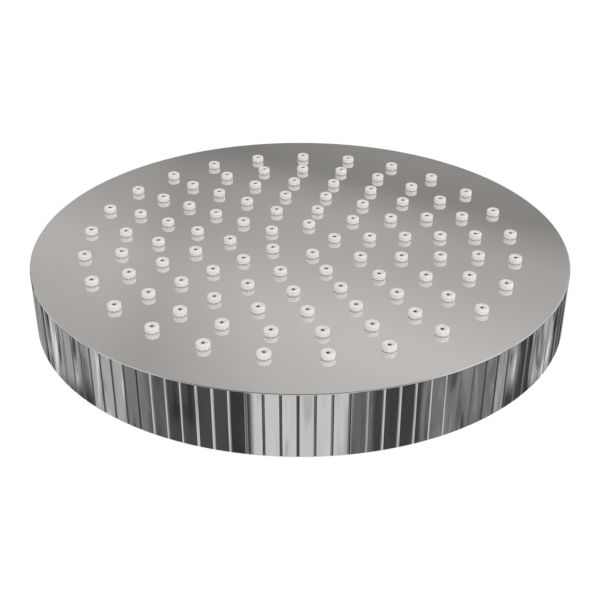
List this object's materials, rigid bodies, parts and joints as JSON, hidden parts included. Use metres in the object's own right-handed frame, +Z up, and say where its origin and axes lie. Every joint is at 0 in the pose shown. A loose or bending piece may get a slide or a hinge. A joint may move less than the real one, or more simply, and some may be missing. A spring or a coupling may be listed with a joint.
{
  "type": "rain shower head",
  "caption": "Round polished rain shower head with a grooved rim, rings of white silicone nozzles on its face, and a ball joint with a threaded inlet nut on its back.",
  "frame": {"origin": "centre of the inlet nut's open end, where the shower arm screws in", "axes": "+Z up out of the inlet, toward the shower arm, so the nozzles point down; X is the axis that the head tilts about"},
  "size_m": [0.2, 0.2, 0.0576],
  "materials": {
    "polished_metal": "polished, nickel plated",
    "white_silicone": "satin",
    "black_rubber": "matte",
    "steel_mesh": "woven wire",
    "white_plastic": "matte"
  },
  "bodies": {
    "inlet": {"coupling_nut": "polished_metal", "filter_washer": "black_rubber", "filter_screen": "steel_mesh", "flow_regulator": "white_plastic"},
    "seal": {"ball_seal": "black_rubber"},
    "head": {"spray_cup": "polished_metal", "spray_nozzles": "white_silicone", "cover_gasket": "black_rubber", "back_cover": "polished_metal"}
  },
  "joints": [
    {"name": "swivel", "type": "hinge", "parent": "inlet", "child": "seal", "pos_m": [0, 0, -0.02111], "axis": [0, 0, 1], "continuous": true},
    {"name": "tilt", "type": "hinge", "parent": "seal", "child": "head", "pos_m": [0, 0, -0.02111], "axis": [1, 0, 0], "range_deg": [-15, 15]}
  ]
}
